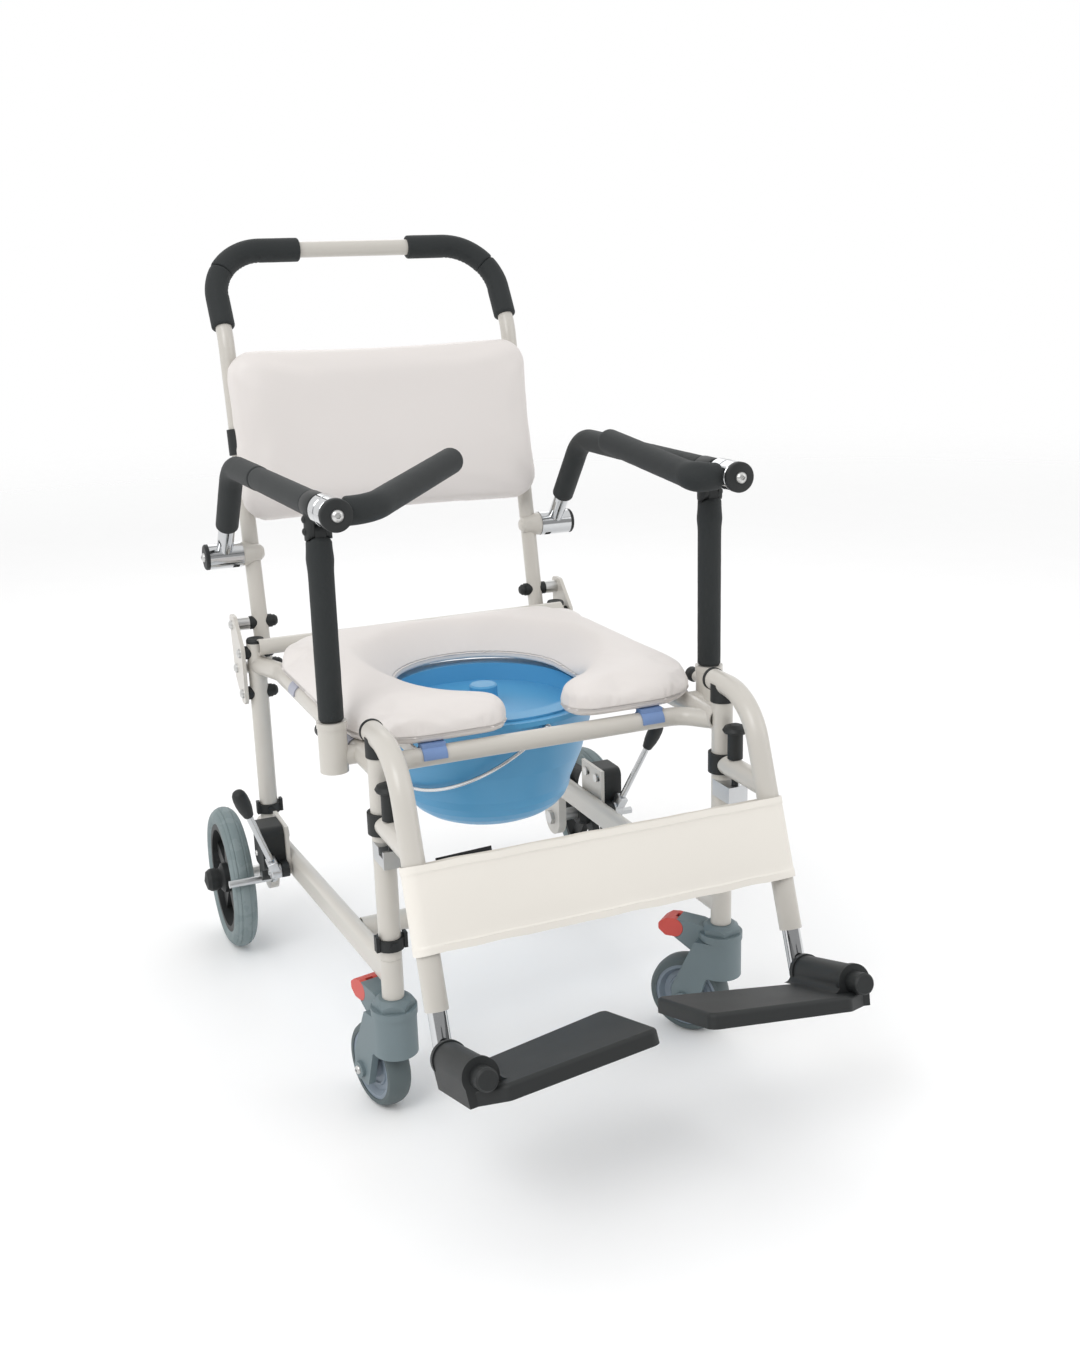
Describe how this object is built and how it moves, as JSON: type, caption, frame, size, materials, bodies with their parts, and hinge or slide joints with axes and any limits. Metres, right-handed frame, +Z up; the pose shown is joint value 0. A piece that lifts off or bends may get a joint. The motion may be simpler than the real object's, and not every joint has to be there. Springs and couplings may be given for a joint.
{
  "type": "wheeled commode chair",
  "caption": "Wheeled commode and shower chair: padded open-front seat over a lidded pan, lifting arms, swing-away leg rests with flip-up footplates, braked wheels.",
  "frame": {"origin": "on the floor, at the middle of the bounding box", "axes": "+X to the occupant's left, +Y to the back of the chair, +Z up; the occupant faces -Y"},
  "size_m": [0.64, 1.0084, 0.972],
  "materials": {
    "frame_paint": "satin powder coat",
    "fastener_steel": "zinc plated",
    "black_plastic": "moulded, fine grain",
    "foam": "closed-cell foam",
    "pad_vinyl": "smooth vinyl",
    "strap_vinyl": "smooth vinyl",
    "chrome": "polished",
    "aluminium": "cast",
    "pan_blue": "smooth",
    "bail_wire": "drawn wire",
    "clip_plastic": "smooth",
    "tyre_grey": "matt",
    "caster_grey": "smooth",
    "caster_tread": "matt",
    "pedal_red": "smooth"
  },
  "bodies": {
    "base": {"base_rails": "frame_paint", "base_bolts": "fastener_steel", "brake_housings": "black_plastic"},
    "seat_frame": {"seat_legs": "frame_paint", "seat_rails": "frame_paint", "seat_cross_tubes": "frame_paint", "leg_collars": "black_plastic", "arm_sockets": "frame_paint", "pan_runners": "frame_paint", "back_brackets": "frame_paint", "bracket_bolts": "fastener_steel", "saddles_and_caps": "black_plastic", "backrest_tube": "frame_paint", "push_grips": "foam", "backrest_pad": "pad_vinyl", "arm_bosses": "frame_paint", "leg_catches": "aluminium", "calf_strap": "strap_vinyl"},
    "seat": {"seat_pad": "pad_vinyl", "seat_clips": "clip_plastic"},
    "pan": {"pan": "pan_blue"},
    "pan_lid": {"pan_lid": "pan_blue"},
    "pan_bail": {"pan_bail": "bail_wire"},
    "rear_wheel_left": {"rear_tyre_left": "tyre_grey", "rear_rim_left": "black_plastic"},
    "caster_fork_left": {"caster_fork_left": "caster_grey"},
    "caster_wheel_left": {"caster_wheel_left": "caster_tread"},
    "caster_pedal_left": {"caster_pedal_left": "pedal_red"},
    "brake_lever_left": {"brake_lever_left": "chrome"},
    "brake_shoe_left": {"brake_shoe_left": "aluminium"},
    "arm_post_left": {"arm_post_left": "foam"},
    "safety_bar_left": {"safety_bar_left": "foam"},
    "arm_plunger_left": {"arm_plunger_left": "black_plastic"},
    "latch_left": {"latch_left": "black_plastic"},
    "leg_extension_left": {"leg_extension_left": "chrome"},
    "footplate_left": {"footplate_left": "black_plastic"},
    "arm_left": {"arm_tube_left": "chrome", "arm_grip_left": "foam", "arm_clamp_left": "black_plastic"},
    "legrest_left": {"legrest_tube_left": "frame_paint", "legrest_bush_left": "black_plastic"},
    "rear_wheel_right": {"rear_tyre_right": "tyre_grey", "rear_rim_right": "black_plastic"},
    "caster_fork_right": {"caster_fork_right": "caster_grey"},
    "caster_wheel_right": {"caster_wheel_right": "caster_tread"},
    "caster_pedal_right": {"caster_pedal_right": "pedal_red"},
    "brake_lever_right": {"brake_lever_right": "chrome"},
    "brake_shoe_right": {"brake_shoe_right": "aluminium"},
    "arm_post_right": {"arm_post_right": "foam"},
    "safety_bar_right": {"safety_bar_right": "foam"},
    "arm_plunger_right": {"arm_plunger_right": "black_plastic"},
    "latch_right": {"latch_right": "black_plastic"},
    "leg_extension_right": {"leg_extension_right": "chrome"},
    "footplate_right": {"footplate_right": "black_plastic"},
    "arm_right": {"arm_tube_right": "chrome", "arm_grip_right": "foam", "arm_clamp_right": "black_plastic"},
    "legrest_right": {"legrest_tube_right": "frame_paint", "legrest_bush_right": "black_plastic"}
  },
  "joints": [
    {"name": "seat_height", "type": "slide", "parent": "base", "child": "seat_frame", "axis": [0, 0, 1], "range_m": [0, 0.04]},
    {"name": "seat_pad_lift", "type": "slide", "parent": "seat_frame", "child": "seat", "axis": [0, 0, 1], "range_m": [0, 0.15]},
    {"name": "pan_slide", "type": "slide", "parent": "seat_frame", "child": "pan", "axis": [0, 1, 0], "range_m": [0, 0.44]},
    {"name": "pan_lid_lift", "type": "slide", "parent": "pan", "child": "pan_lid", "axis": [0, 0, 1], "range_m": [0, 0.005]},
    {"name": "pan_bail_swing", "type": "hinge", "parent": "pan", "child": "pan_bail", "pos_m": [0, 0.029, 0.403], "axis": [-0.1564, 0.9877, 0], "range_deg": [0, 30]},
    {"name": "rear_wheel_spin_left", "type": "hinge", "parent": "base", "child": "rear_wheel_left", "pos_m": [0.281, 0.329, 0.1], "axis": [1, 0, 0], "continuous": true},
    {"name": "brake_lever_throw_left", "type": "hinge", "parent": "base", "child": "brake_lever_left", "pos_m": [0.24395, 0.167, 0.165], "axis": [1, 0, 0], "range_deg": [0, 50]},
    {"name": "brake_shoe_press_left", "type": "hinge", "parent": "base", "child": "brake_shoe_left", "pos_m": [0.24395, 0.2, 0.15], "axis": [1, 0, 0], "range_deg": [0, 12]},
    {"name": "caster_swivel_left", "type": "hinge", "parent": "base", "child": "caster_fork_left", "pos_m": [0.209, -0.204, 0.151], "axis": [0, 0, 1], "continuous": true},
    {"name": "caster_spin_left", "type": "hinge", "parent": "caster_fork_left", "child": "caster_wheel_left", "pos_m": [0.18329, -0.17336, 0.05], "axis": [0.766, 0.6428, 0], "continuous": true},
    {"name": "caster_pedal_press_left", "type": "hinge", "parent": "caster_fork_left", "child": "caster_pedal_left", "pos_m": [0.17236, -0.16034, 0.138], "axis": [-0.766, -0.6428, 0], "range_deg": [0, 12]},
    {"name": "arm_lift_left", "type": "hinge", "parent": "seat_frame", "child": "arm_left", "pos_m": [0.246, 0.358, 0.556], "axis": [-1, 0, 0], "range_deg": [0, 70]},
    {"name": "arm_post_fold_left", "type": "hinge", "parent": "arm_left", "child": "arm_post_left", "pos_m": [0.23681, -0.124, 0.664], "axis": [-1, 0, 0], "range_deg": [-37, 0]},
    {"name": "safety_bar_swing_left", "type": "hinge", "parent": "arm_left", "child": "safety_bar_left", "pos_m": [0.192, -0.172, 0.69], "axis": [0, 0, 1], "range_deg": [0, 46]},
    {"name": "arm_plunger_pull_left", "type": "slide", "parent": "seat_frame", "child": "arm_plunger_left", "axis": [0, 1, 0], "range_m": [0, 0.006], "stiffness_N_per_m": 500},
    {"name": "legrest_swing_left", "type": "hinge", "parent": "seat_frame", "child": "legrest_left", "pos_m": [0.209, -0.204, 0.432], "axis": [0, 0, 1], "range_deg": [0, 90], "deforming": ["calf_strap"]},
    {"name": "latch_pull_left", "type": "slide", "parent": "legrest_left", "child": "latch_left", "axis": [0, 0, 1], "range_m": [0, 0.009], "stiffness_N_per_m": 400},
    {"name": "leg_length_left", "type": "slide", "parent": "legrest_left", "child": "leg_extension_left", "axis": [0, -0.3486, -0.9373], "range_m": [0, 0.08]},
    {"name": "footplate_flip_left", "type": "hinge", "parent": "leg_extension_left", "child": "footplate_left", "pos_m": [0.209, -0.37306, 0.165], "axis": [0, 0.9511, -0.309], "range_deg": [0, 84]},
    {"name": "rear_wheel_spin_right", "type": "hinge", "parent": "base", "child": "rear_wheel_right", "pos_m": [-0.281, 0.329, 0.1], "axis": [1, 0, 0], "continuous": true},
    {"name": "brake_lever_throw_right", "type": "hinge", "parent": "base", "child": "brake_lever_right", "pos_m": [-0.24395, 0.167, 0.165], "axis": [1, 0, 0], "range_deg": [0, 50]},
    {"name": "brake_shoe_press_right", "type": "hinge", "parent": "base", "child": "brake_shoe_right", "pos_m": [-0.24395, 0.2, 0.15], "axis": [1, 0, 0], "range_deg": [0, 12]},
    {"name": "caster_swivel_right", "type": "hinge", "parent": "base", "child": "caster_fork_right", "pos_m": [-0.209, -0.204, 0.151], "axis": [0, 0, 1], "continuous": true},
    {"name": "caster_spin_right", "type": "hinge", "parent": "caster_fork_right", "child": "caster_wheel_right", "pos_m": [-0.21732, -0.16487, 0.05], "axis": [0.9781, 0.2079, 0], "continuous": true},
    {"name": "caster_pedal_press_right", "type": "hinge", "parent": "caster_fork_right", "child": "caster_pedal_right", "pos_m": [-0.22085, -0.14825, 0.138], "axis": [-0.9781, -0.2079, 0], "range_deg": [0, 12]},
    {"name": "arm_lift_right", "type": "hinge", "parent": "seat_frame", "child": "arm_right", "pos_m": [-0.246, 0.358, 0.556], "axis": [-1, 0, 0], "range_deg": [0, 70]},
    {"name": "arm_post_fold_right", "type": "hinge", "parent": "arm_right", "child": "arm_post_right", "pos_m": [-0.23681, -0.124, 0.664], "axis": [-1, 0, 0], "range_deg": [-37, 0]},
    {"name": "safety_bar_swing_right", "type": "hinge", "parent": "arm_right", "child": "safety_bar_right", "pos_m": [-0.192, -0.172, 0.69], "axis": [0, 0, -1], "range_deg": [-42, 4]},
    {"name": "arm_plunger_pull_right", "type": "slide", "parent": "seat_frame", "child": "arm_plunger_right", "axis": [0, 1, 0], "range_m": [0, 0.006], "stiffness_N_per_m": 500},
    {"name": "legrest_swing_right", "type": "hinge", "parent": "seat_frame", "child": "legrest_right", "pos_m": [-0.209, -0.204, 0.432], "axis": [0, 0, -1], "range_deg": [0, 90], "deforming": ["calf_strap"]},
    {"name": "latch_pull_right", "type": "slide", "parent": "legrest_right", "child": "latch_right", "axis": [0, 0, 1], "range_m": [0, 0.009], "stiffness_N_per_m": 400},
    {"name": "leg_length_right", "type": "slide", "parent": "legrest_right", "child": "leg_extension_right", "axis": [0, -0.3486, -0.9373], "range_m": [0, 0.08]},
    {"name": "footplate_flip_right", "type": "hinge", "parent": "leg_extension_right", "child": "footplate_right", "pos_m": [-0.209, -0.37306, 0.165], "axis": [0, -0.9511, 0.309], "range_deg": [0, 84]}
  ],
  "couplings": [
    {"joint": "arm_post_fold_left", "follows": "arm_lift_left", "ratio": -0.49},
    {"joint": "brake_shoe_press_left", "follows": "brake_lever_throw_left", "ratio": 0.24},
    {"joint": "arm_post_fold_right", "follows": "arm_lift_right", "ratio": -0.49},
    {"joint": "brake_shoe_press_right", "follows": "brake_lever_throw_right", "ratio": 0.24}
  ]
}
